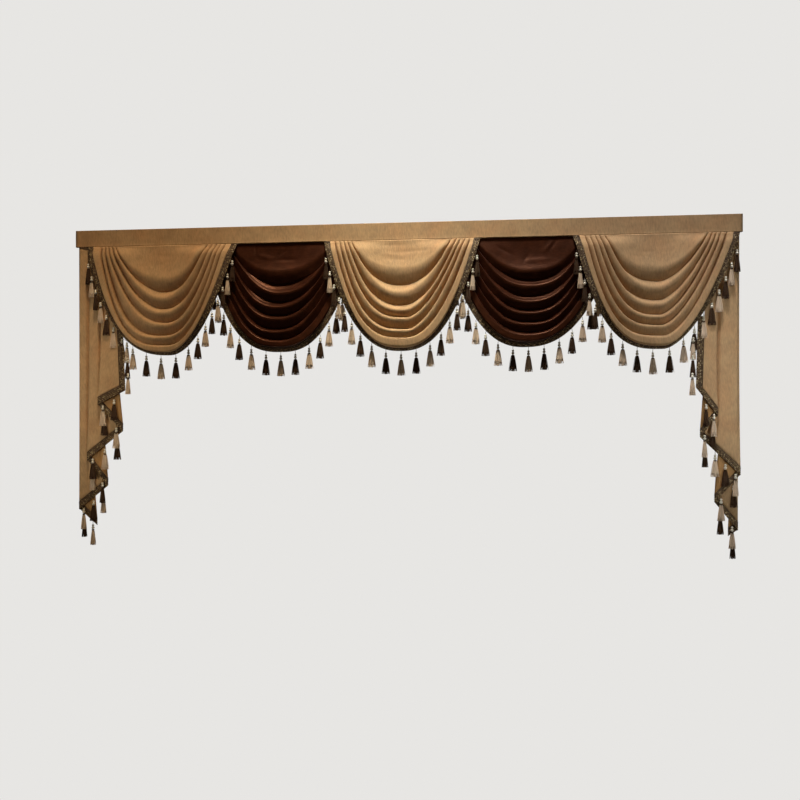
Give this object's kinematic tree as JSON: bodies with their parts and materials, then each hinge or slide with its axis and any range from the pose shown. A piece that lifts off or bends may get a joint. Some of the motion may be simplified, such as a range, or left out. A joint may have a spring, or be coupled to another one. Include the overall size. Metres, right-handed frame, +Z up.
{
  "type": "swag and tail drape",
  "caption": "Window valance of overlapping beige and chocolate swags with pleated side tails, every hem trimmed with beaded tassel braid, under a flat heading band.",
  "frame": {"origin": "middle of the heading band's top edge, on its back face, where the drape is hung up", "axes": "+X along the band, +Z up, -Y out of the wall into the room"},
  "size_m": [3, 0.0826, 1.4858],
  "materials": {
    "beige_chenille": "matt ribbed chenille",
    "chocolate_satin": "soft sheen satin",
    "braid": "woven braid with gold flecks, beads and cut yarn skirts"
  },
  "bodies": {
    "root": {"heading_band": "beige_chenille", "swag_left": "beige_chenille", "swag_middle": "beige_chenille", "swag_right": "beige_chenille", "dark_swag_left": "chocolate_satin", "dark_swag_right": "chocolate_satin", "tail_left": "beige_chenille", "tail_right": "beige_chenille", "fringe_swag_left": "braid", "fringe_swag_middle": "braid", "fringe_swag_right": "braid", "fringe_dark_swag_left": "braid", "fringe_dark_swag_right": "braid", "fringe_tail_left": "braid", "fringe_tail_right": "braid"}
  },
  "joints": []
}
